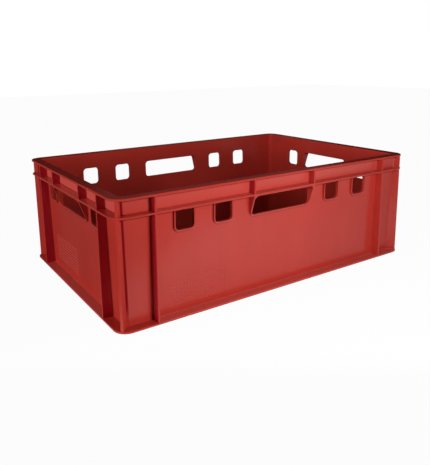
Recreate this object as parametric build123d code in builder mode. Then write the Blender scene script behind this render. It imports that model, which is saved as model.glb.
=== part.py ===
"""Stackable meat crate, 600 x 400 x 200 mm: an open box with two rims, hand-holds and vents.

The frame is +Z up, +X along the long side, with the origin under the middle of the floor.
The crate is one plastic moulding. Each region of it is a solid of its own, and the regions
meet face to face, because all of them are trimmed by the same drafted forms.
"""

import os
from math import atan, degrees, radians, sqrt, tan

from build123d import *

os.makedirs("parts", exist_ok=True)

# Outside of the crate, in millimetres
length = 600.0
width = 400.0
height = 200.0

# Skin of the walls, which leans inwards towards the floor
wall_thickness = 2.8
wall_draft = 1.3
wall_corner_radius = 4.0
inner_corner_radius = 7.0

# Floor, and the foot that drops inside the rim of a crate below
floor_thickness = 3.6
floor_cove = 6.0
foot_height = 6.0
foot_round = 2.0
pan_lip = 4.0

# Top rim, and the lower rim round the wall below it
rim_depth = 13.8
rim_thickness = 3.5
rim_corner_radius = 21.0
lower_rim_drop = 26.0
lower_rim_thickness = 3.0

# Flange round the base, with a cove up to the wall
base_flange_thickness = 3.0
base_flange_inset = 0.6
base_corner_radius = 21.0
base_cove = 2.5
cove_bite = 0.3

# Upright ribs and corner fins
rib_thickness = 3.0
rib_setback = 0.6
fin_thickness = 4.5
corner_bay = 63.2

# Hand-hold in the middle of each wall, under the lower rim
handhold_width = 124.0
opening_height = 33.0
opening_radius = 7.0
opening_web = 1.0
hood_wall = 2.5
hood_lip = 1.5

# Vents each side of the hand-hold, spaced evenly from its hood to the end rib
vent_width = 31.6
vents_on_long_wall = range(2)
vents_on_short_wall = range(1)
collar_wall = 2.2
collar_depth = 3.2

# Rounding of free edges
edge_round = 0.8
lip_round = 1.0
opening_round = 0.8
lip_edge_round = 0.5

# Levels and places that follow from the sizes above
overrun = 20.0
rim_underside = height - rim_thickness
lower_rim_top = height - lower_rim_drop
lower_rim_underside = lower_rim_top - lower_rim_thickness
base_flange_top = foot_height + base_flange_thickness
pan_height = floor_thickness + floor_cove + pan_lip
opening_top = lower_rim_underside - opening_web
opening_middle = opening_top - opening_height / 2
rib_draft = degrees(atan(base_flange_inset / (height - base_flange_top)))
rib_round = min(edge_round, 0.4 * rib_thickness)
fin_round = min(edge_round, 0.4 * fin_thickness)


def skin_inset(level):
    """Distance from the rim's edge in to the skin's outer face, at a level above the ground."""
    return rim_depth + (height - level) * tan(radians(wall_draft))


def drafted_block(inset, corner_radius, draft_angle, bottom):
    """Block with leaning sides, which at the crate's top lies inset from the rim's edge."""
    with BuildPart() as block:
        with BuildSketch(Plane.XY.offset(bottom)):
            Rectangle(length - 2 * inset, width - 2 * inset)
        extrude(amount=height + overrun - bottom)
        sides = block.faces().filter_by(Axis.Z, reverse=True)
        draft(sides, Plane.XY.offset(height), -draft_angle)
        uprights = block.edges().filter_by(lambda edge: abs(edge.tangent_at(0.5).Z) > 0.5)
        fillet(uprights, corner_radius)
    return block.part


# Forms that trim the regions: the skin's outer face, the ribs' edges and the collars' lips
outer_form = drafted_block(rim_depth, wall_corner_radius, wall_draft, -overrun)
rib_form = drafted_block(rib_setback, base_corner_radius, rib_draft, -overrun)
collar_form = drafted_block(rim_depth - collar_depth, wall_corner_radius, wall_draft, -overrun)

# Hollow of the crate, with a cove round the floor
with BuildPart() as hollow:
    add(drafted_block(rim_depth + wall_thickness, inner_corner_radius, wall_draft, floor_thickness))
    floor_edges = hollow.edges().group_by(Axis.Z)[0]
    fillet(floor_edges, min(floor_cove, 0.9 * inner_corner_radius))

# Whole skin with its floor, before it is divided
with BuildPart() as skin:
    add(outer_form)
    with BuildSketch():
        Rectangle(length, width)
    extrude(amount=height, mode=Mode.INTERSECT)
    add(hollow.part, mode=Mode.SUBTRACT)
    top_face = skin.faces().sort_by(Axis.Z)[-1]
    fillet(top_face.inner_wires().edges(), min(lip_round, 0.4 * wall_thickness))

# Floor pan: floor, foot and the lowest stretch of the walls
with BuildPart() as floor_pan:
    add(skin.part)
    with BuildSketch():
        Rectangle(length, width)
    extrude(amount=pan_height, mode=Mode.INTERSECT)
    underside = floor_pan.faces().sort_by(Axis.Z)[0]
    fillet(underside.outer_wire().edges(), min(foot_round, 0.5 * foot_height))
floor_pan.part.label = "floor_pan"
export_step(floor_pan.part, "parts/floor_pan.step")


def ledge(bottom, thickness, inset, corner_radius):
    """Flat plate across the crate with rounded edges, before the skin is taken out of it."""
    with BuildPart() as plate:
        with BuildSketch(Plane.XY.offset(bottom)):
            RectangleRounded(length - 2 * inset, width - 2 * inset, corner_radius)
        extrude(amount=thickness)
        rims = plate.faces().filter_by(Axis.Z).edges()
        fillet(rims, min(edge_round, 0.4 * thickness))
    return plate.part


# Top rim round the mouth
with BuildPart() as top_rim:
    add(ledge(rim_underside, rim_thickness, 0, rim_corner_radius))
    add(outer_form, mode=Mode.SUBTRACT)
top_rim.part.label = "top_rim"
export_step(top_rim.part, "parts/top_rim.step")

# Lower rim, which is also the grip above the hand-holds
with BuildPart() as lower_rim:
    add(ledge(lower_rim_underside, lower_rim_thickness, 0, rim_corner_radius))
    add(outer_form, mode=Mode.SUBTRACT)
lower_rim.part.label = "lower_rim"
export_step(lower_rim.part, "parts/lower_rim.step")

# Base flange: a ledge with a cove up to the wall, cut by a ring with one rounded edge
cove_level = base_flange_top + base_cove - cove_bite
cove_inset = skin_inset(cove_level) + cove_bite
with BuildPart() as cove_ring:
    with BuildSketch(Plane.XY.offset(base_flange_top - cove_bite)):
        Rectangle(length + overrun, width + overrun)
        RectangleRounded(
            length - 2 * cove_inset,
            width - 2 * cove_inset,
            wall_corner_radius - cove_bite,
            mode=Mode.SUBTRACT,
        )
    extrude(amount=2 * base_cove)
    ring_underside = cove_ring.faces().sort_by(Axis.Z)[0]
    fillet(ring_underside.inner_wires().edges(), base_cove)
with BuildPart() as base_flange:
    with BuildSketch(Plane.XY.offset(base_flange_top)):
        RectangleRounded(
            length - 2 * (cove_inset - base_cove),
            width - 2 * (cove_inset - base_cove),
            wall_corner_radius + base_cove - cove_bite,
        )
    extrude(amount=cove_level - base_flange_top)
    add(cove_ring.part, mode=Mode.SUBTRACT)
    add(ledge(foot_height, base_flange_thickness, base_flange_inset, base_corner_radius))
    add(outer_form, mode=Mode.SUBTRACT)
base_flange.part.label = "base_flange"
export_step(base_flange.part, "parts/base_flange.step")


def lip_edges(piece, outward):
    """Edges of a piece's outermost faces, without the ones that meet the lower rim."""
    lips = piece.faces().filter_by(lambda face: face.normal_at().dot(outward) > 0.7)
    return lips.edges().filter_by(lambda edge: edge.center().Z < lower_rim_underside - opening_web / 4)


# Each wall is drawn on an upright plane through the crate's middle that faces outwards
middle = (0, 0, 0)
front_plane = Plane.XZ
rear_plane = Plane(origin=middle, x_dir=(-1, 0, 0), z_dir=(0, 1, 0))
left_plane = Plane(origin=middle, x_dir=(0, -1, 0), z_dir=(-1, 0, 0))
right_plane = Plane(origin=middle, x_dir=(0, 1, 0), z_dir=(1, 0, 0))

# Plane, half the wall's run, distance out to the rim's edge, vents each side of the hand-hold
walls = {
    "front": (front_plane, length / 2, width / 2, vents_on_long_wall),
    "rear": (rear_plane, length / 2, width / 2, vents_on_long_wall),
    "left": (left_plane, width / 2, length / 2, vents_on_short_wall),
    "right": (right_plane, width / 2, length / 2, vents_on_short_wall),
}

for wall_name, (plane, half_run, reach, vents) in walls.items():
    outward = plane.z_dir
    start = plane.offset(reach / 2)
    end_rib_place = half_run - corner_bay
    panel_half = end_rib_place + rib_thickness / 2
    hood_half = handhold_width / 2 + hood_wall
    collar_width = vent_width + 2 * collar_wall
    vent_run = end_rib_place - rib_thickness / 2 - hood_half
    vent_gap = (vent_run - len(vents) * collar_width) / (len(vents) + 1)
    vent_places = []
    for step in vents:
        place = hood_half + vent_gap + collar_width / 2 + step * (collar_width + vent_gap)
        vent_places += [(-place, opening_middle), (place, opening_middle)]

    # Wall panel between the end ribs, with its hand-hold and vents
    with BuildPart() as panel:
        add(skin.part)
        with BuildSketch(start):
            with Locations((0, (pan_height + height) / 2)):
                Rectangle(2 * panel_half, height - pan_height)
        extrude(amount=reach, mode=Mode.INTERSECT)
        with BuildSketch(start):
            with Locations((0, opening_middle)):
                RectangleRounded(handhold_width, opening_height, opening_radius)
            with Locations(*vent_places):
                RectangleRounded(vent_width, opening_height, opening_radius)
        extrude(amount=reach, mode=Mode.SUBTRACT)
        inner_faces = panel.faces().filter_by(lambda face: face.normal_at().dot(outward) < -0.9)
        inner_face = inner_faces.sort_by(SortBy.AREA)[-1]
        fillet(inner_face.inner_wires().edges(), min(opening_round, 0.4 * wall_thickness))
    panel.part.label = f"{wall_name}_wall"
    export_step(panel.part, f"parts/{wall_name}_wall.step")

    # End ribs, in two stretches: between the rims, and from the lower rim to the base flange
    with BuildPart() as end_ribs:
        with BuildSketch(start):
            for low, high in ((base_flange_top, lower_rim_underside), (lower_rim_top, rim_underside)):
                with Locations((-end_rib_place, (low + high) / 2), (end_rib_place, (low + high) / 2)):
                    Rectangle(rib_thickness, high - low)
        extrude(amount=reach)
        add(rib_form, mode=Mode.INTERSECT)
        add(outer_form, mode=Mode.SUBTRACT)
        add(base_flange.part, mode=Mode.SUBTRACT)
        outer_faces = end_ribs.faces().filter_by(lambda face: face.normal_at().dot(outward) > 0.9)
        long_edges = outer_faces.edges().filter_by(lambda edge: abs(edge.tangent_at(0.5).Z) > 0.5)
        fillet(long_edges, rib_round)
    end_ribs.part.label = f"{wall_name}_end_ribs"
    export_step(end_ribs.part, f"parts/{wall_name}_end_ribs.step")

    # Grip ribs between the rims, in line with the sides of the hand-hold's hood
    grip_rib_place = handhold_width / 2 + hood_wall / 2
    with BuildPart() as grip_ribs:
        with BuildSketch(start):
            with Locations(
                (-grip_rib_place, (lower_rim_top + rim_underside) / 2),
                (grip_rib_place, (lower_rim_top + rim_underside) / 2),
            ):
                Rectangle(rib_thickness, rim_underside - lower_rim_top)
        extrude(amount=reach)
        add(rib_form, mode=Mode.INTERSECT)
        add(outer_form, mode=Mode.SUBTRACT)
        outer_faces = grip_ribs.faces().filter_by(lambda face: face.normal_at().dot(outward) > 0.9)
        long_edges = outer_faces.edges().filter_by(lambda edge: abs(edge.tangent_at(0.5).Z) > 0.5)
        fillet(long_edges, rib_round)
    grip_ribs.part.label = f"{wall_name}_grip_ribs"
    export_step(grip_ribs.part, f"parts/{wall_name}_grip_ribs.step")

    # Hood round the hand-hold, which slopes from the lower rim's edge back to the wall
    hood_bottom = opening_top - opening_height - hood_wall
    hood_middle = (hood_bottom + lower_rim_underside) / 2
    hood_tall = lower_rim_underside - hood_bottom
    hood_top_reach = reach - rib_setback
    hood_foot_reach = reach - skin_inset(hood_bottom) + hood_lip
    side_plane = Plane(origin=(0, 0, 0), x_dir=outward, z_dir=outward.cross(Vector(0, 0, 1)))
    with BuildPart() as hood:
        with BuildSketch(start):
            with Locations((0, hood_middle)):
                Rectangle(2 * hood_half, hood_tall)
            with Locations((0, opening_middle)):
                RectangleRounded(handhold_width, opening_height, opening_radius, mode=Mode.SUBTRACT)
        extrude(amount=reach)
        outward_edges = hood.edges().filter_by(lambda edge: abs(edge.tangent_at(0.5).dot(outward)) > 0.9)
        lower_corners = outward_edges.group_by(Axis.Z)[0]
        fillet(lower_corners, opening_radius + hood_wall)
        with BuildSketch(side_plane):
            with BuildLine():
                Polyline(
                    (0, lower_rim_underside),
                    (hood_top_reach, lower_rim_underside),
                    (hood_foot_reach, hood_bottom),
                    (0, hood_bottom),
                    close=True,
                )
            make_face()
        extrude(amount=half_run, both=True, mode=Mode.INTERSECT)
        add(outer_form, mode=Mode.SUBTRACT)
        fillet(lip_edges(hood, outward), min(lip_edge_round, 0.4 * hood_wall, 0.4 * opening_web))
    hood.part.label = f"{wall_name}_handhold_hood"
    export_step(hood.part, f"parts/{wall_name}_handhold_hood.step")

    # Collars round the vents, which hang from the lower rim
    with BuildPart() as collars:
        with BuildSketch(start):
            for place, level in vent_places:
                with Locations((place, level - collar_wall / 2 + opening_web / 2)):
                    Rectangle(collar_width, opening_height + collar_wall + opening_web)
            with Locations(*vent_places):
                RectangleRounded(vent_width, opening_height, opening_radius, mode=Mode.SUBTRACT)
        extrude(amount=reach)
        outward_edges = collars.edges().filter_by(lambda edge: abs(edge.tangent_at(0.5).dot(outward)) > 0.9)
        lower_corners = outward_edges.group_by(Axis.Z)[0]
        fillet(lower_corners, opening_radius + collar_wall)
        add(collar_form, mode=Mode.INTERSECT)
        add(outer_form, mode=Mode.SUBTRACT)
        fillet(lip_edges(collars, outward), min(lip_edge_round, 0.4 * collar_wall, 0.4 * opening_web))
    collars.part.label = f"{wall_name}_vent_collars"
    export_step(collars.part, f"parts/{wall_name}_vent_collars.step")

# Corners of the skin, and the upright fin on each
for side_x, side_name in ((-1, "left"), (1, "right")):
    for side_y, end_name in ((-1, "front"), (1, "rear")):
        inner_x = length / 2 - corner_bay + rib_thickness / 2
        inner_y = width / 2 - corner_bay + rib_thickness / 2
        corner_middle = (side_x * (inner_x + length / 2) / 2, side_y * (inner_y + width / 2) / 2)
        corner_name = f"{end_name}_{side_name}"

        with BuildPart() as corner:
            add(skin.part)
            with BuildSketch(Plane.XY.offset(pan_height)):
                with Locations(corner_middle):
                    Rectangle(length / 2 - inner_x, width / 2 - inner_y)
            extrude(amount=height - pan_height, mode=Mode.INTERSECT)
        corner.part.label = f"{corner_name}_corner"
        export_step(corner.part, f"parts/{corner_name}_corner.step")

        diagonal = Vector(side_x, side_y, 0) / sqrt(2)
        arc_x = side_x * (length / 2 - rim_corner_radius)
        arc_y = side_y * (width / 2 - rim_corner_radius)
        fin_plane = Plane(origin=(arc_x, arc_y, 0), x_dir=diagonal, z_dir=diagonal.cross(Vector(0, 0, 1)))
        with BuildPart() as fin:
            with BuildSketch(fin_plane):
                for low, high in ((base_flange_top, lower_rim_underside), (lower_rim_top, rim_underside)):
                    with Locations((0, (low + high) / 2)):
                        Rectangle(4 * rim_corner_radius, high - low)
            extrude(amount=fin_thickness / 2, both=True)
            add(rib_form, mode=Mode.INTERSECT)
            add(outer_form, mode=Mode.SUBTRACT)
            add(base_flange.part, mode=Mode.SUBTRACT)
            outer_faces = fin.faces().filter_by(lambda face: face.normal_at().dot(diagonal) > 0.9)
            long_edges = outer_faces.edges().filter_by(lambda edge: abs(edge.tangent_at(0.5).Z) > 0.5)
            fillet(long_edges, fin_round)
        fin.part.label = f"{corner_name}_fin"
        export_step(fin.part, f"parts/{corner_name}_fin.step")
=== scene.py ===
"""Looks of a red stackable meat crate: its plastic, its moulded marks and a plain studio."""

import math

import bpy
from bpy.props import FloatProperty, FloatVectorProperty, IntProperty, PointerProperty
from mathutils import Matrix, Vector


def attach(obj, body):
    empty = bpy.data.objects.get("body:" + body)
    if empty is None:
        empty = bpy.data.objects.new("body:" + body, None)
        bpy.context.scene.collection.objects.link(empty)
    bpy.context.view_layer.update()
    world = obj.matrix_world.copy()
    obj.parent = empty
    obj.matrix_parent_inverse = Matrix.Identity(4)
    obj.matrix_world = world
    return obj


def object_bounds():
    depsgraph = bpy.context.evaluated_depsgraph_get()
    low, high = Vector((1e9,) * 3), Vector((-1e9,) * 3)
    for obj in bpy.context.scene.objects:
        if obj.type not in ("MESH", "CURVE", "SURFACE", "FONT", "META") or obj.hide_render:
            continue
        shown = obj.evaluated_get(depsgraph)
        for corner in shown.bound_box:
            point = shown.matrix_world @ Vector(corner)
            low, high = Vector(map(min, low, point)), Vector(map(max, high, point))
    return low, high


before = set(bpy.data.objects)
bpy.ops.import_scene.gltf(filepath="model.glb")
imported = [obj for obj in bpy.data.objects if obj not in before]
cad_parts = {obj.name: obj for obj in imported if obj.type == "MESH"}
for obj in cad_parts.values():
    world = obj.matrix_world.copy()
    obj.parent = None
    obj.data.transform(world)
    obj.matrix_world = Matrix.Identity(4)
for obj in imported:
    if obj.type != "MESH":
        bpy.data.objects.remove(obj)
CAD_BOX = [list(corner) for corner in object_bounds()]

bl_info = {
    "name": "Stackable Meat Crate",
    "version": (1, 0, 0),
    "blender": (4, 5, 0),
    "location": "View3D > Sidebar > Crate",
    "description": "Dresses a moulded stacking crate and sets up its studio",
    "category": "Object",
}

# Driving sizes of the moulding in metres, as its solids have them
RIM_DEPTH = 0.0138
RIM_THICKNESS = 0.0035
LOWER_RIM_DROP = 0.026
LOWER_RIM_THICKNESS = 0.003
BASE_FLANGE_TOP = 0.009
WALL_DRAFT = math.radians(1.3)
CORNER_BAY = 0.0632
RIB_THICKNESS = 0.003
OPENING_WEB = 0.001
OPENING_HEIGHT = 0.033
OPENING_RADIUS = 0.007
HANDHOLD_WIDTH = 0.124
HOOD_WALL = 0.0025
VENT_WIDTH = 0.0316
COLLAR_WALL = 0.0022
VENTS_ON_LONG_WALL = 2
VENTS_ON_SHORT_WALL = 1

# Levels and places that follow from those sizes and from the frame
HALF_LENGTH, HALF_WIDTH, HEIGHT = CAD_BOX[1]
CRATE_MIDDLE = Vector((0.0, 0.0, HEIGHT / 2))
RIM_UNDERSIDE = HEIGHT - RIM_THICKNESS
LOWER_RIM_TOP = HEIGHT - LOWER_RIM_DROP
LOWER_RIM_UNDERSIDE = LOWER_RIM_TOP - LOWER_RIM_THICKNESS
OPENING_SILL = LOWER_RIM_UNDERSIDE - OPENING_WEB - OPENING_HEIGHT
OPENING_MIDDLE = OPENING_SILL + OPENING_HEIGHT / 2
END_RIB_X = HALF_LENGTH - CORNER_BAY
END_RIB_Y = HALF_WIDTH - CORNER_BAY
RIB_HALF = RIB_THICKNESS / 2
HOOD_HALF_WIDTH = HANDHOLD_WIDTH / 2 + HOOD_WALL
GRIP_RIB = HOOD_HALF_WIDTH - HOOD_WALL / 2
COLLAR_HALF_WIDTH = VENT_WIDTH / 2 + COLLAR_WALL
COLLAR_HALF_HEIGHT = OPENING_HEIGHT / 2 + COLLAR_WALL
COLLAR_RADIUS = OPENING_RADIUS + COLLAR_WALL

# Strengths of the marks, where 1 gives a place the whole of its mark's own tone: painted shade under the
# rims and round the openings, paler dot tips, painted light on the band between the rims, and a scratch
# tint
LOWER_RIM_SHADE = 0.9
TOP_RIM_SHADE = 0.7
OUTLINE_SHADE = 0.42
DOT_TIP_PALING = 0.3
SHORT_WALL_BAND_LIGHT = 0.90
LONG_WALL_BAND_LIGHT = 0.45
BAY_BAND_LIGHT_LOSS = 0.2
SCRATCH_TINT = 0.5

# Refraction of the plastic, and the roughness that changes of tone, rubbing and scratches add
PLASTIC_IOR = 1.52
TONE_ROUGHNESS = 0.06
RUB_ROUGHNESS = 0.12
SCRATCH_ROUGHNESS = 0.10

# Depth of the skin's relief in metres, and the shares of grain, orange peel and scratches in it
RELIEF_DEPTH = 0.0004
GRAIN_RELIEF = 0.35
PEEL_RELIEF = 0.65
SCRATCH_RELIEF = 0.6

# Lamps: azimuth from the front and elevation in degrees, distance and sides in metres, power in
# watts, and whether the plastic mirrors the lamp
LAMPS = {
    "key_lamp": (-5.4, 15.4, 0.83, (0.20, 0.26), 3.95, False),
    "left_lamp": (-90.0, 14.4, 1.445, (0.40, 0.40), 6.5, False),
    "left_far_lamp": (-82.0, 2.8, 2.5, (0.60, 0.40), 15.5, False),
    "right_lamp": (92.0, 8.0, 2.2, (0.70, 0.50), 14.0, False),
    "rear_lamp": (-172.0, 8.0, 2.2, (0.70, 0.50), 14.0, False),
    "rim_lamp": (146.0, 12.0, 2.2, (1.40, 0.50), 0.14, True),
}

# Floor: half its side in metres, how white it looks, and the shares of that white that the plastic
# mirrors from the sweep, from its pool of light and from the world
FLOOR_HALF = 6.0
FLOOR_WHITE = 0.97
SWEEP_MIRRORED = 0.1
POOL_MIRRORED = 0.7
WORLD_MIRRORED = 0.005

# Height of the picture in pixels, and the sensor that Blender lays along that long side
PICTURE_HEIGHT = 465
SENSOR = 36.0


def skin_place(reach, level):
    """Distance from the crate's middle to the skin's outer face, on a wall with that reach."""
    return reach - RIM_DEPTH - (HEIGHT - level) * math.tan(WALL_DRAFT)


def vent_places(end_rib, count):
    """Distances of the vents from a wall's middle, spaced evenly from the hood to the end rib."""
    collar = 2 * COLLAR_HALF_WIDTH
    gap = (end_rib - RIB_HALF - HOOD_HALF_WIDTH - count * collar) / (count + 1)
    first = HOOD_HALF_WIDTH + gap + COLLAR_HALF_WIDTH
    return [first + index * (collar + gap) for index in range(count)]


def direction(turn, rise):
    """Unit vector away from the crate, at an azimuth from the front and an elevation."""
    level = math.cos(rise)
    return Vector((math.sin(turn) * level, -math.cos(turn) * level, math.sin(rise)))


def solid(colour):
    """A colour with full alpha."""
    return (*colour, 1.0)


class Wire:
    """One output socket of a node tree, which takes part in plain arithmetic."""

    def __init__(self, sheet, socket):
        self.sheet = sheet
        self.socket = socket

    def math(self, operation, *values):
        inputs = dict(enumerate(values))
        return self.sheet.add("ShaderNodeMath", {"operation": operation}, inputs)

    def __add__(self, other):
        return self.math("ADD", self, other)

    def __radd__(self, other):
        return self.math("ADD", other, self)

    def __sub__(self, other):
        return self.math("SUBTRACT", self, other)

    def __rsub__(self, other):
        return self.math("SUBTRACT", other, self)

    def __mul__(self, other):
        return self.math("MULTIPLY", self, other)

    def __rmul__(self, other):
        return self.math("MULTIPLY", other, self)

    def __truediv__(self, other):
        return self.math("DIVIDE", self, other)

    def __abs__(self):
        return self.math("ABSOLUTE", self)

    def root(self):
        return self.math("SQRT", self)

    def at_least(self, other):
        return self.math("MAXIMUM", self, other)

    def at_most(self, other):
        return self.math("MINIMUM", self, other)

    def step(self, low, high):
        """Smooth rise from 0 at low to 1 at high."""
        settings = {"interpolation_type": "SMOOTHSTEP"}
        inputs = {"Value": self, "From Min": low, "From Max": high}
        return self.sheet.add("ShaderNodeMapRange", settings, inputs)

    def fade(self, low, high):
        """Smooth fall from 1 at low to 0 at high."""
        return 1 - self.step(low, high)

    def window(self, rise, fall):
        """1 between a rise and a fall, and 0 outside them."""
        return self.step(*rise) * self.fade(*fall)

    def line(self, place, half_width):
        """1 at a place, falling smoothly to 0 at half_width either side of it."""
        return abs(self - place).fade(0.0, half_width)


class NodeSheet:
    """A node tree that is filled one node at a time."""

    def __init__(self, tree):
        self.tree = tree
        self.tree.nodes.clear()

    def node(self, kind, settings=None, inputs=None):
        """Adds a node, sets its settings and then its sockets, and returns it."""
        node = self.tree.nodes.new(kind)
        for key, value in (settings or {}).items():
            setattr(node, key, value)
        for key, value in (inputs or {}).items():
            self.plug(node, key, value)
        return node

    def add(self, kind, settings=None, inputs=None, output=0):
        """Adds a node and returns one of its outputs."""
        node = self.node(kind, settings, inputs)
        return Wire(self, self.find(node.outputs, output))

    def plug(self, node, key, value):
        """Links a wire to a socket, or writes a plain value in it."""
        socket = self.find(node.inputs, key)
        if isinstance(value, Wire):
            self.tree.links.new(value.socket, socket)
        else:
            socket.default_value = value

    def find(self, sockets, key):
        """A socket by its number, its identifier or its name."""
        if isinstance(key, int):
            return sockets[key]
        for socket in sockets:
            if socket.identifier == key:
                return socket
        return sockets[key]

    def split(self, vector):
        """The three parts of a vector."""
        node = self.node("ShaderNodeSeparateXYZ", inputs={"Vector": vector})
        return [Wire(self, socket) for socket in node.outputs]

    def noise(self, place, scale, detail=2.0, stretch=None):
        """Soft noise between 0 and 1, stretched by a factor along each axis."""
        if stretch:
            place = self.add("ShaderNodeMapping", inputs={"Vector": place, "Scale": stretch})
        inputs = {"Vector": place, "Scale": scale, "Detail": detail, "Roughness": 0.55}
        return self.add("ShaderNodeTexNoise", None, inputs, "Fac")

    def blend(self, low, high, factor):
        """Colour between two colours."""
        settings = {"data_type": "RGBA", "blend_type": "MIX"}
        inputs = {"Factor_Float": factor, "A_Color": low, "B_Color": high}
        return self.add("ShaderNodeMix", settings, inputs, "Result_Color")


class PieceTree(NodeSheet):
    """A geometry tree with named inputs, whose result is kept as a plain mesh piece."""

    def __init__(self, name, inputs):
        super().__init__(bpy.data.node_groups.new(name, "GeometryNodeTree"))
        self.name = name
        self.values = {}
        identifiers = {}
        interface = self.tree.interface
        interface.new_socket("Geometry", in_out="OUTPUT", socket_type="NodeSocketGeometry")
        for label, (kind, value) in inputs.items():
            socket = interface.new_socket(label, in_out="INPUT", socket_type=kind)
            socket.default_value = value
            identifiers[label] = socket.identifier
            self.values[socket.identifier] = value
        outputs = self.node("NodeGroupInput").outputs
        self.given = {}
        for label, identifier in identifiers.items():
            self.given[label] = Wire(self, self.find(outputs, identifier))

    def vector(self, **parts):
        """A vector from its parts, of which those left out are 0."""
        return self.add("ShaderNodeCombineXYZ", None, parts)

    def keep_piece(self, shape, plastic):
        """Ends the tree, runs it and keeps the result as a plain mesh that rides the root."""
        place, turn = self.given["Place"], self.given["Turn"]
        settled = {"Geometry": shape, "Translation": place, "Rotation": turn}
        shape = self.add("GeometryNodeTransform", None, settled)
        shape = self.add("GeometryNodeRealizeInstances", None, {"Geometry": shape})
        shape = self.add("GeometryNodeSetMaterial", None, {"Geometry": shape, "Material": plastic})
        self.node("NodeGroupOutput", inputs={0: shape})

        blank = bpy.data.meshes.new(self.name + "_carrier")
        carrier = bpy.data.objects.new(self.name + "_carrier", blank)
        bpy.context.collection.objects.link(carrier)
        modifier = carrier.modifiers.new("Shape", "NODES")
        modifier.node_group = self.tree
        for identifier, value in self.values.items():
            modifier[identifier] = value
        depsgraph = bpy.context.evaluated_depsgraph_get()
        mesh = bpy.data.meshes.new_from_object(carrier.evaluated_get(depsgraph))
        mesh.name = self.name
        carrier.modifiers.remove(modifier)
        bpy.data.objects.remove(carrier)

        piece = bpy.data.objects.new(self.name, mesh)
        bpy.context.collection.objects.link(piece)
        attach(piece, "root")


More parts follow.
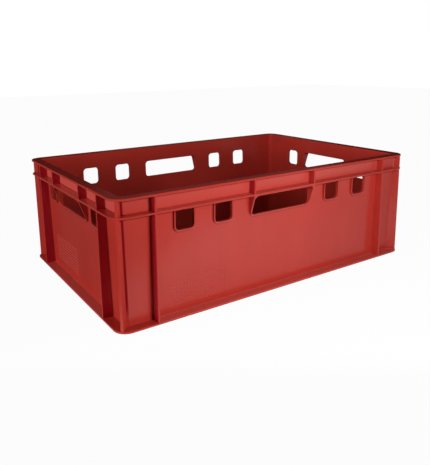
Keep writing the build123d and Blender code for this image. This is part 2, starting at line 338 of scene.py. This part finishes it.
class MouldedSkin:
    """Where a point lies on the moulding, from its Object coordinates, and the marks that it bears,
    painted shade and painted light among them.

    Each mark is a share, 0 where there is none of it. Distances are in metres.
    """

    def __init__(self, sheet):
        self.sheet = sheet
        self.place = sheet.add("ShaderNodeTexCoord", output="Object")
        x, y, self.z = sheet.split(self.place)
        self.far_x = abs(x)
        self.far_y = abs(y)

        # How far the point is past the skin's outer face, and past the rim's edge
        inset = (HEIGHT - self.z) * math.tan(WALL_DRAFT) + RIM_DEPTH
        self.past_x = self.far_x - HALF_LENGTH + inset
        self.past_y = self.far_y - HALF_WIDTH + inset
        self.outside = self.past_x.at_least(self.past_y)
        self.past_rim = (self.far_x - HALF_LENGTH).at_least(self.far_y - HALF_WIDTH)

        # The left half, the skin with all that stands out from it, the short walls, bays and ribs
        self.left = x.fade(-0.1, 0.1)
        self.skin = self.outside.step(-0.0015, -0.0005)
        self.short_wall = self.far_x.step(HALF_LENGTH - 0.020, HALF_LENGTH - 0.016)
        bay_x = self.far_x.step(END_RIB_X - 0.001, END_RIB_X)
        bay_y = self.far_y.step(END_RIB_Y - 0.001, END_RIB_Y)
        self.bay = bay_x * bay_y
        self.ribs = self.upright_ribs()

    def upright_ribs(self):
        """End ribs, and the grip ribs between the rims, where they stand out from the skin."""
        side = (RIB_HALF + 0.0002, RIB_HALF + 0.0006)
        end = abs(self.far_x - END_RIB_X).at_most(abs(self.far_y - END_RIB_Y)).fade(*side)
        grip = abs(self.far_x - GRIP_RIB).at_most(abs(self.far_y - GRIP_RIB)).fade(*side)
        between_rims = self.z.step(LOWER_RIM_TOP - 0.0002, LOWER_RIM_TOP + 0.0002)
        return end.at_least(grip * between_rims) * self.outside.step(0.0008, 0.0020)

    def tone(self):
        """Slow changes of tone, and streaks that run up the walls from the floor."""
        cloud = self.sheet.noise(self.place, scale=7.0, detail=3.0)
        streak = self.sheet.noise(self.place, scale=26.0, detail=3.0, stretch=(1.0, 1.0, 0.12))
        return cloud * 0.6 + streak * 0.4

    def rubbed_edges(self):
        """Outer edges of the rims and of the base flange, rubbed where crates meet."""
        edge = self.past_rim.step(-0.0045, -0.0006)
        grain = self.sheet.noise(self.place, scale=160.0, detail=4.0, stretch=(1.0, 1.0, 0.6))
        return edge * grain.step(0.52, 0.74)

    def scratches(self):
        """Fine scratches along the walls, in patches."""
        lines = self.sheet.noise(self.place, scale=75.0, stretch=(0.08, 0.08, 5.0)).line(0.5, 0.012)
        patches = self.sheet.noise(self.place, scale=11.0).step(0.56, 0.72)
        return lines * patches

    def sink_lines(self):
        """Shallow sink lines where the end ribs draw the skin in."""
        half_width = RIB_THICKNESS
        on_long_wall = self.far_y.step(HALF_WIDTH - 0.050, HALF_WIDTH - 0.040)
        on_short_wall = self.far_x.step(HALF_LENGTH - 0.050, HALF_LENGTH - 0.040)
        long_wall = self.far_x.line(END_RIB_X, half_width) * on_long_wall
        short_wall = self.far_y.line(END_RIB_Y, half_width) * on_short_wall
        return long_wall + short_wall

    def fin_crease_shade(self):
        """Painted shade along the roots of the left corner fins, in the narrow creases where they meet
        the walls.
        """
        corner = self.past_x + self.past_y
        across = corner.window(rise=(-0.0064, -0.0044), fall=(0.0005, 0.0040))
        shallow = self.outside.fade(0.0025, 0.0045)
        top = (RIM_UNDERSIDE - 0.0020, RIM_UNDERSIDE - 0.0005)
        run = self.z.window(rise=(0.004, 0.045), fall=top)
        return across * shallow * run * self.left

    def rib_flank_shade(self):
        """Painted shade: the flanks of the upright ribs on the left take the purer red of shaded faces.
        """
        behind_edge = self.past_rim.fade(-0.0024, -0.0014)
        below_rim = self.z.fade(RIM_UNDERSIDE - 0.0005, RIM_UNDERSIDE)
        return self.ribs * behind_edge * below_rim * self.left

    def ledges(self):
        """Painted light on the tops of the lower rim and base flange and on the openings' sills, left
        out in the left bays and on the ribs.
        """
        half_height = 0.0008
        rim = self.z.line(LOWER_RIM_TOP, half_height)
        sill = self.z.line(OPENING_SILL, half_height) * (1 - self.bay)
        flange = self.z.window(
            rise=(BASE_FLANGE_TOP - 0.0008, BASE_FLANGE_TOP - 0.0002),
            fall=(BASE_FLANGE_TOP + 0.0002, BASE_FLANGE_TOP + 0.0012),
        )
        open_run = (1 - self.bay * self.left) * (1 - self.ribs)
        return rim.at_least(sill).at_least(flange) * self.outside.step(0.0, 0.001) * open_run

    def rim_band_light(self):
        """Painted light on the band of skin between the rims: most on the short walls, least in the long
        walls' bays.
        """
        run = self.z.window(
            rise=(LOWER_RIM_TOP + 0.0005, LOWER_RIM_TOP + 0.0015),
            fall=(RIM_UNDERSIDE - 0.0015, RIM_UNDERSIDE),
        )
        band_light = self.short_wall * (SHORT_WALL_BAND_LIGHT - LONG_WALL_BAND_LIGHT) + LONG_WALL_BAND_LIGHT
        band_light = band_light - self.bay * (1 - self.short_wall) * BAY_BAND_LIGHT_LOSS
        return self.skin * self.outside.fade(0.001, 0.002) * run * band_light

    def rim_shade(self):
        """Fine shaded line on the skin under each rim."""
        lower = self.z.window(
            rise=(LOWER_RIM_UNDERSIDE - 0.0060, LOWER_RIM_UNDERSIDE - 0.0048),
            fall=(LOWER_RIM_UNDERSIDE + 0.0001, LOWER_RIM_UNDERSIDE + 0.0004),
        )
        upper = self.z.window(
            rise=(RIM_UNDERSIDE - 0.0053, RIM_UNDERSIDE - 0.0043),
            fall=(RIM_UNDERSIDE + 0.0001, RIM_UNDERSIDE + 0.0004),
        )
        lines = lower * LOWER_RIM_SHADE + upper * TOP_RIM_SHADE
        return lines * self.skin * self.outside.fade(0.003, 0.006)

    def beside_openings(self, along, vents):
        """Distance along a wall past the corners' centres of the nearest collar or hood."""
        beside = along - (HOOD_HALF_WIDTH - COLLAR_RADIUS)
        for vent in vents:
            beside = beside.at_most(abs(along - vent) - (COLLAR_HALF_WIDTH - COLLAR_RADIUS))
        return beside

    def opening_outline(self):
        """Fine shaded line on the skin round each vent's collar and each hand-hold's hood."""
        long_wall = self.beside_openings(self.far_x, vent_places(END_RIB_X, VENTS_ON_LONG_WALL))
        short_wall = self.beside_openings(self.far_y, vent_places(END_RIB_Y, VENTS_ON_SHORT_WALL))
        beside = (long_wall + (short_wall - long_wall) * self.short_wall).at_least(0.0)
        level = abs(self.z - OPENING_MIDDLE) - (COLLAR_HALF_HEIGHT - COLLAR_RADIUS)
        level = level.at_least(0.0)
        from_collar = (beside * beside + level * level).root() - COLLAR_RADIUS
        below_rim = self.z.fade(LOWER_RIM_UNDERSIDE - 0.0010, LOWER_RIM_UNDERSIDE + 0.0001)
        flat_skin = self.skin * self.outside.fade(0.0005, 0.0012)
        return from_collar.line(0.0014, 0.0021) * flat_skin * below_rim * OUTLINE_SHADE

    def raised_tips(self):
        """Tips of the raised dots and lines low on the walls."""
        dots = self.past_y.window(rise=(0.0001, 0.0004), fall=(0.0012, 0.0018)) * DOT_TIP_PALING
        lines = self.past_x.window(rise=(0.0001, 0.0006), fall=(0.0012, 0.0018))
        clear_of_rib_x = self.far_x.fade(END_RIB_X - 0.0148, END_RIB_X - 0.0108)
        clear_of_rib_y = self.far_y.fade(END_RIB_Y - 0.0148, END_RIB_Y - 0.0108)
        low = self.z.window(rise=(0.014, 0.016), fall=(0.080, 0.084))
        return (dots * clear_of_rib_x + lines * clear_of_rib_y) * low


def moulded_plastic(plastic):
    """Red polyethylene as it leaves the mould: satin, with grain, flow and rubbed edges, and painted
    shade and painted light on creases, rib flanks, ledges, the rim band and fine lines.
    """
    material = bpy.data.materials.new("moulded_red_polyethylene")
    material.use_nodes = True
    sheet = NodeSheet(material.node_tree)
    skin = MouldedSkin(sheet)
    tone = skin.tone()
    rubbed = skin.rubbed_edges() * plastic.rub_strength
    scratches = skin.scratches() * plastic.scratch_strength
    # Paler raised tips, and painted light on the ledges and the band between the rims
    paling_and_light = skin.raised_tips().at_least(skin.ledges()).at_least(skin.rim_band_light())
    shaded = skin.rim_shade().at_least(skin.opening_outline())

    red = sheet.blend(solid(plastic.deep_red), solid(plastic.bright_red), tone.step(0.30, 0.70))
    red = sheet.blend(red, solid(plastic.rubbed_red), rubbed)
    red = sheet.blend(red, solid(plastic.rubbed_red), scratches * SCRATCH_TINT)
    red = sheet.blend(red, solid(plastic.pale_and_lit_red), paling_and_light * plastic.paling_and_light_strength)
    # Painted shade on the left ribs' flanks
    red = sheet.blend(red, solid(plastic.flank_shade_red), skin.rib_flank_shade())
    # Painted shade in the lines under the rims and round the openings
    red = sheet.blend(red, solid(plastic.shade_red), shaded)

    grain = sheet.noise(skin.place, scale=plastic.grain_scale)
    orange_peel = sheet.noise(skin.place, scale=130.0)
    relief = grain * GRAIN_RELIEF + orange_peel * PEEL_RELIEF
    relief = relief - skin.sink_lines() * plastic.sink_depth - scratches * SCRATCH_RELIEF
    bump = {"Height": relief, "Strength": plastic.grain_strength, "Distance": RELIEF_DEPTH}
    normal = sheet.add("ShaderNodeBump", None, bump)

    rough = plastic.roughness + (tone - 0.5) * TONE_ROUGHNESS
    rough = rough + rubbed * RUB_ROUGHNESS + scratches * SCRATCH_ROUGHNESS
    inputs = {"Base Color": red, "Roughness": rough, "Normal": normal, "IOR": PLASTIC_IOR}
    surface = sheet.add("ShaderNodeBsdfPrincipled", None, inputs)
    # Painted shade: the fins' creases take a dark, matt diffuse surface in place of the plastic
    painted_shade_surface = sheet.add("ShaderNodeBsdfDiffuse", None, {"Color": solid(plastic.shade_red)})
    surface = sheet.add("ShaderNodeMixShader", None, {0: skin.fin_crease_shade(), 1: surface, 2: painted_shade_surface})
    sheet.node("ShaderNodeOutputMaterial", inputs={"Surface": surface})
    return material


def plastic_of(scene):
    """The crate's plastic, made once."""
    material = bpy.data.materials.get("moulded_red_polyethylene")
    return material or moulded_plastic(scene.crate_plastic)


class CratePlastic(bpy.types.PropertyGroup):
    """Colour and finish of the moulded plastic"""

    deep_red: FloatVectorProperty(
        name="Deep red", description="Darker tone of the plastic",
        subtype="COLOR", min=0.0, max=1.0, default=(0.450, 0.0335, 0.0225),
    )
    bright_red: FloatVectorProperty(
        name="Bright red", description="Lighter tone of the plastic",
        subtype="COLOR", min=0.0, max=1.0, default=(0.500, 0.0395, 0.0275),
    )
    rubbed_red: FloatVectorProperty(
        name="Rubbed red", description="Tone of rubbed and scratched places",
        subtype="COLOR", min=0.0, max=1.0, default=(0.560, 0.0800, 0.0650),
    )
    # Paler tone of the raised marks' tips, and painted light on the ledges and on the band between the
    # rims
    pale_and_lit_red: FloatVectorProperty(
        name="Scuffed red", description="Tone of raised marks, ledges and the band between the rims",
        subtype="COLOR", min=0.0, max=1.0, default=(0.640, 0.1000, 0.0800),
    )
    # Painted shade: the purer red of the left ribs' shaded flanks
    flank_shade_red: FloatVectorProperty(
        name="Flank red", description="Tone of the left ribs' flanks",
        subtype="COLOR", min=0.0, max=1.0, default=(0.500, 0.0120, 0.0300),
    )
    # Painted shade: dark red of the fins' creases, of the lines under the rims and of those round the
    # openings
    shade_red: FloatVectorProperty(
        name="Crease red", description="Tone of creases and of the lines under rims and round openings",
        subtype="COLOR", min=0.0, max=1.0, default=(0.210, 0.0050, 0.0065),
    )
    roughness: FloatProperty(
        name="Roughness", description="Roughness of the satin skin",
        subtype="FACTOR", min=0.0, max=1.0, default=0.24,
    )
    grain_scale: FloatProperty(
        name="Grain scale", description="Grains of the mould's texture in a metre",
        min=1.0, default=950.0,
    )
    grain_strength: FloatProperty(
        name="Grain strength", description="Strength of the moulded grain",
        subtype="FACTOR", min=0.0, max=1.0, default=0.16,
    )
    sink_depth: FloatProperty(
        name="Sink depth", description="Depth of the sink lines behind the ribs", min=0.0, default=1.2,
    )
    # Strength of the raised tips' paling and of the painted light on the ledges and the rims' band
    paling_and_light_strength: FloatProperty(
        name="Scuffs", description="How far raised marks, ledges and the rims' band are paled",
        subtype="FACTOR", min=0.0, max=1.0, default=1.0,
    )
    rub_strength: FloatProperty(
        name="Rubbing", description="How far the rims' edges are rubbed",
        subtype="FACTOR", min=0.0, max=1.0, default=0.22,
    )
    scratch_strength: FloatProperty(
        name="Scratches", description="How far the walls are scratched",
        subtype="FACTOR", min=0.0, max=1.0, default=0.35,
    )


class CrateRuledField(bpy.types.PropertyGroup):
    """Raised lines low on the left wall, where a card would go"""

    lines: IntProperty(name="Lines", description="Lines in the field", min=1, default=9)
    pitch: FloatProperty(
        name="Pitch", description="Distance from line to line", unit="LENGTH", min=0.001, default=0.0053,
    )
    line_length: FloatProperty(
        name="Line length", description="Length of each line", unit="LENGTH", min=0.01, default=0.108,
    )
    line_radius: FloatProperty(
        name="Line radius", description="Half the width of each line",
        unit="LENGTH", min=0.0001, default=0.0008,
    )
    middle: FloatVectorProperty(
        name="Middle", description="Middle of the field along the wall and up it",
        size=2, unit="LENGTH", default=(0.055, 0.0478),
    )


class CrateStippleField(bpy.types.PropertyGroup):
    """Patch of moulded dots low on the front wall"""

    columns: IntProperty(name="Columns", description="Dots in a row", min=2, default=18)
    rows: IntProperty(name="Rows", description="Rows of dots", min=2, default=8)
    pitch: FloatProperty(
        name="Pitch", description="Distance from dot to dot", unit="LENGTH", min=0.001, default=0.0058,
    )
    dot_radius: FloatProperty(
        name="Dot radius", description="Radius of each dot", unit="LENGTH", min=0.0001, default=0.0014,
    )
    dot_height: FloatProperty(
        name="Dot height", description="How far each dot stands out",
        unit="LENGTH", min=0.0001, default=0.0005,
    )
    middle: FloatVectorProperty(
        name="Middle", description="Middle of the patch along the wall and up it",
        size=2, unit="LENGTH", default=(-0.158, 0.0402),
    )


class CrateStudio(bpy.types.PropertyGroup):
    """Camera, floor and world of the picture"""

    azimuth: FloatProperty(
        name="Azimuth", description="Turn of the camera from the front wall",
        subtype="ANGLE", default=math.radians(-33.685),
    )
    elevation: FloatProperty(
        name="Elevation", description="Height angle of the camera",
        subtype="ANGLE", default=math.radians(11.137),
    )
    roll: FloatProperty(
        name="Roll", description="Tilt of the camera about its own axis",
        subtype="ANGLE", default=math.radians(-0.70),
    )
    distance: FloatProperty(
        name="Distance", description="Camera's distance from the crate's middle",
        unit="LENGTH", default=1.0402,
    )
    aside: FloatVectorProperty(
        name="Aside", description="Crate's middle across and up in the camera's own axes",
        size=2, unit="LENGTH", default=(0.00551, -0.07480),
    )
    focal_pixels: FloatProperty(
        name="Focal length in pixels", description="Focal length of the picture",
        min=1.0, default=532.86,
    )
    axis_row: FloatProperty(
        name="Axis row", description="Row of the picture that the camera's axis meets", default=168.3,
    )
    floor_grey: FloatProperty(
        name="Floor", description="Paleness of the floor in front of the crate",
        subtype="FACTOR", min=0.0, max=1.0, default=0.90,
    )
    floor_shade: FloatProperty(
        name="Floor behind", description="Paleness that the floor behind lends to the crate",
        subtype="FACTOR", min=0.0, max=1.0, default=0.12,
    )
    front_edge: FloatVectorProperty(
        name="Front edge", description="How far in front the pale sweep starts and is full",
        size=2, unit="LENGTH", default=(0.05, 0.20),
    )
    table_edge: FloatVectorProperty(
        name="Table edge", description="How far towards the camera the pale sweep fades out",
        size=2, unit="LENGTH", default=(0.36, 0.44),
    )
    pool_middle: FloatVectorProperty(
        name="Pool", description="Middle of the pool of light on the sweep",
        size=2, unit="LENGTH", default=(0.60, -0.85),
    )
    pool_reach: FloatVectorProperty(
        name="Pool reach", description="Where the pool of light starts to fall off and ends",
        size=2, unit="LENGTH", default=(0.10, 0.40),
    )
    world_light: FloatProperty(
        name="World light", description="Level of the light from all round", min=0.0, default=0.004,
    )


class CRATE_OT_dress_moulding(bpy.types.Operator):
    """Gives every region of the moulding its plastic"""

    bl_idname = "crate.dress_moulding"
    bl_label = "Dress the moulding"

    def execute(self, context):
        plastic = plastic_of(context.scene)
        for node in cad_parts.values():
            for slot in node.material_slots:
                slot.material = plastic
        return {"FINISHED"}


class CRATE_OT_raise_ruled_field(bpy.types.Operator):
    """Raises the ruled field on the left wall"""

    bl_idname = "crate.raise_ruled_field"
    bl_label = "Raise the ruled field"

    def execute(self, context):
        field = context.scene.crate_ruled_field
        along, level = field.middle
        tree = PieceTree("ruled_field", {
            "Lines": ("NodeSocketInt", field.lines),
            "Pitch": ("NodeSocketFloat", field.pitch),
            "Line length": ("NodeSocketFloat", field.line_length),
            "Line radius": ("NodeSocketFloat", field.line_radius),
            "Place": ("NodeSocketVector", Vector((-skin_place(HALF_LENGTH, level), along, level))),
            "Turn": ("NodeSocketVector", Vector((math.pi / 2 + WALL_DRAFT, 0.0, -math.pi / 2))),
        })
        lines, pitch = tree.given["Lines"], tree.given["Pitch"]
        half = tree.given["Line length"] * 0.5
        ends = {"Start": tree.vector(X=half * -1.0), "End": tree.vector(X=half)}
        path = tree.add("GeometryNodeCurvePrimitiveLine", {"mode": "POINTS"}, ends)
        outline = {"Resolution": 10, "Radius": tree.given["Line radius"]}
        round_line = tree.add("GeometryNodeCurvePrimitiveCircle", {"mode": "RADIUS"}, outline)
        sweep = {"Curve": path, "Profile Curve": round_line, "Fill Caps": True}
        bar = tree.add("GeometryNodeCurveToMesh", None, sweep)
        row = {"Count": lines, "Offset": tree.vector(Y=pitch)}
        points = tree.add("GeometryNodeMeshLine", {"mode": "OFFSET"}, row)
        centred = {"Geometry": points, "Offset": tree.vector(Y=pitch * (lines - 1) * -0.5)}
        points = tree.add("GeometryNodeSetPosition", None, centred)
        bars = tree.add("GeometryNodeInstanceOnPoints", None, {"Points": points, "Instance": bar})
        tree.keep_piece(bars, plastic_of(context.scene))
        return {"FINISHED"}


class CRATE_OT_raise_stipple_field(bpy.types.Operator):
    """Raises the patch of dots on the front wall"""

    bl_idname = "crate.raise_stipple_field"
    bl_label = "Raise the stipple field"

    def execute(self, context):
        field = context.scene.crate_stipple_field
        along, level = field.middle
        tree = PieceTree("stipple_field", {
            "Columns": ("NodeSocketInt", field.columns),
            "Rows": ("NodeSocketInt", field.rows),
            "Pitch": ("NodeSocketFloat", field.pitch),
            "Dot radius": ("NodeSocketFloat", field.dot_radius),
            "Dot height": ("NodeSocketFloat", field.dot_height),
            "Place": ("NodeSocketVector", Vector((along, -skin_place(HALF_WIDTH, level), level))),
            "Turn": ("NodeSocketVector", Vector((math.pi / 2 + WALL_DRAFT, 0.0, 0.0))),
        })
        columns, rows, pitch = (tree.given[label] for label in ("Columns", "Rows", "Pitch"))
        radius, height = tree.given["Dot radius"], tree.given["Dot height"]
        grid = tree.add("GeometryNodeMeshGrid", None, {
            "Size X": pitch * (columns - 1),
            "Size Y": pitch * (rows - 1),
            "Vertices X": columns,
            "Vertices Y": rows,
        })
        ball = {"Segments": 8, "Rings": 5, "Radius": radius}
        dot = tree.add("GeometryNodeMeshUVSphere", None, ball)
        flat = tree.vector(X=1.0, Y=1.0, Z=height / radius)
        spread = {"Points": grid, "Instance": dot, "Scale": flat}
        dots = tree.add("GeometryNodeInstanceOnPoints", None, spread)
        tree.keep_piece(dots, plastic_of(context.scene))
        return {"FINISHED"}


class CRATE_OT_set_studio(bpy.types.Operator):
    """Sets the camera, the lamps, the world and a pale floor"""

    bl_idname = "crate.set_studio"
    bl_label = "Set the studio"

    def execute(self, context):
        studio = context.scene.crate_studio
        self.set_camera(context.scene, studio)
        self.lay_floor(studio)
        self.light_world(context.scene, studio)
        for name, settings in LAMPS.items():
            self.hang_lamp(name, *settings)
        context.scene.view_settings.view_transform = "Standard"
        return {"FINISHED"}

    def set_camera(self, scene, studio):
        """Camera of the picture, rolled about its own axis and shifted to the picture's axis row."""
        back = direction(studio.azimuth, studio.elevation)
        level_right = Vector((math.cos(studio.azimuth), math.sin(studio.azimuth), 0.0))
        level_up = back.cross(level_right)
        right = math.cos(studio.roll) * level_right + math.sin(studio.roll) * level_up
        up = math.cos(studio.roll) * level_up - math.sin(studio.roll) * level_right
        across, above = studio.aside
        place = CRATE_MIDDLE - across * right - above * up + studio.distance * back
        lens = bpy.data.cameras.new("camera")
        lens.sensor_width = SENSOR
        lens.lens = studio.focal_pixels * SENSOR / PICTURE_HEIGHT
        lens.shift_y = (studio.axis_row - PICTURE_HEIGHT / 2) / PICTURE_HEIGHT
        lens.clip_start = 0.01
        camera = bpy.data.objects.new("camera", lens)
        axes = Matrix((right, up, back)).transposed().to_4x4()
        camera.matrix_world = Matrix.Translation(place) @ axes
        bpy.context.collection.objects.link(camera)
        scene.camera = camera

    def hang_lamp(self, name, azimuth, elevation, distance, sides, power, mirrored):
        """Rectangular lamp that looks at the crate's middle, mirrored by the plastic or not."""
        lamp = bpy.data.lights.new(name, "AREA")
        lamp.shape = "RECTANGLE"
        lamp.size, lamp.size_y = sides
        lamp.energy = power
        away = direction(math.radians(azimuth), math.radians(elevation))
        light = bpy.data.objects.new(name, lamp)
        light.location = CRATE_MIDDLE + away * distance
        light.rotation_euler = away.to_track_quat("Z", "Y").to_euler()
        light.visible_camera = False
        light.visible_glossy = mirrored
        bpy.context.collection.objects.link(light)

    def lay_floor(self, studio):
        """Pale floor that is white to the eye, keeps the shadow and lends the plastic a faint sheen."""
        mesh = bpy.data.meshes.new("floor")
        half = FLOOR_HALF
        corners = [(-half, -half, 0.0), (half, -half, 0.0), (half, half, 0.0), (-half, half, 0.0)]
        mesh.from_pydata(corners, [], [(0, 1, 2, 3)])
        floor = bpy.data.objects.new("floor", mesh)
        bpy.context.collection.objects.link(floor)

        material = bpy.data.materials.new("pale_floor")
        material.use_nodes = True
        sheet = NodeSheet(material.node_tree)
        x, y, _ = sheet.split(sheet.add("ShaderNodeTexCoord", output="Object"))
        towards = x * math.sin(studio.azimuth) - y * math.cos(studio.azimuth)
        sweep = (0.0 - y).step(*studio.front_edge) * towards.fade(*studio.table_edge)
        aside, ahead = x - studio.pool_middle[0], y - studio.pool_middle[1]
        pool = (aside * aside + ahead * ahead).root().fade(*studio.pool_reach)
        grey = sheet.blend(solid([studio.floor_shade] * 3), solid([studio.floor_grey] * 3), sweep)
        lit = sheet.add("ShaderNodeBsdfDiffuse", None, {"Color": grey})
        white = sheet.add("ShaderNodeEmission", None, {"Color": solid([1.0] * 3), "Strength": 1.0})
        seen = self.seen_white(sheet, sweep * (pool * POOL_MIRRORED + SWEEP_MIRRORED))
        surface = sheet.add("ShaderNodeMixShader", None, {0: seen * FLOOR_WHITE, 1: lit, 2: white})
        sheet.node("ShaderNodeOutputMaterial", inputs={"Surface": surface})
        mesh.materials.append(material)

    def light_world(self, scene, studio):
        """World that is white to the eye and dim to the crate."""
        world = bpy.data.worlds.new("studio_world")
        world.use_nodes = True
        sheet = NodeSheet(world.node_tree)
        seen = self.seen_white(sheet, WORLD_MIRRORED)
        strength = studio.world_light + seen * (1.0 - studio.world_light)
        inputs = {"Color": solid([1.0] * 3), "Strength": strength}
        light = sheet.add("ShaderNodeBackground", None, inputs)
        sheet.node("ShaderNodeOutputWorld", inputs={"Surface": light})
        scene.world = world

    def seen_white(self, sheet, mirrored):
        """Share of white: 1 for the eye and through what is clear, and less in what mirrors it."""
        path = sheet.node("ShaderNodeLightPath")
        eye = Wire(sheet, path.outputs["Is Camera Ray"])
        through = Wire(sheet, path.outputs["Is Transmission Ray"])
        glossy = Wire(sheet, path.outputs["Is Glossy Ray"])
        return (eye + through + glossy * mirrored).at_most(1.0)


class CRATE_PT_panel(bpy.types.Panel):
    """Lists the steps that build the crate's looks"""

    bl_label = "Meat crate"
    bl_idname = "CRATE_PT_panel"
    bl_space_type = "VIEW_3D"
    bl_region_type = "UI"
    bl_category = "Crate"

    def draw(self, context):
        for operator in OPERATORS:
            self.layout.operator(operator.bl_idname)


GROUPS = {
    "crate_plastic": CratePlastic,
    "crate_ruled_field": CrateRuledField,
    "crate_stipple_field": CrateStippleField,
    "crate_studio": CrateStudio,
}
OPERATORS = (
    CRATE_OT_dress_moulding,
    CRATE_OT_raise_ruled_field,
    CRATE_OT_raise_stipple_field,
    CRATE_OT_set_studio,
)


def register():
    for name, group in GROUPS.items():
        bpy.utils.register_class(group)
        setattr(bpy.types.Scene, name, PointerProperty(type=group))
    for operator in OPERATORS:
        bpy.utils.register_class(operator)
    bpy.utils.register_class(CRATE_PT_panel)


def unregister():
    bpy.utils.unregister_class(CRATE_PT_panel)
    for operator in reversed(OPERATORS):
        bpy.utils.unregister_class(operator)
    for name, group in reversed(GROUPS.items()):
        delattr(bpy.types.Scene, name)
        bpy.utils.unregister_class(group)


def main():
    register()
    bpy.ops.crate.dress_moulding()
    bpy.ops.crate.raise_ruled_field()
    bpy.ops.crate.raise_stipple_field()
    bpy.ops.crate.set_studio()


if __name__ == "__main__":
    main()
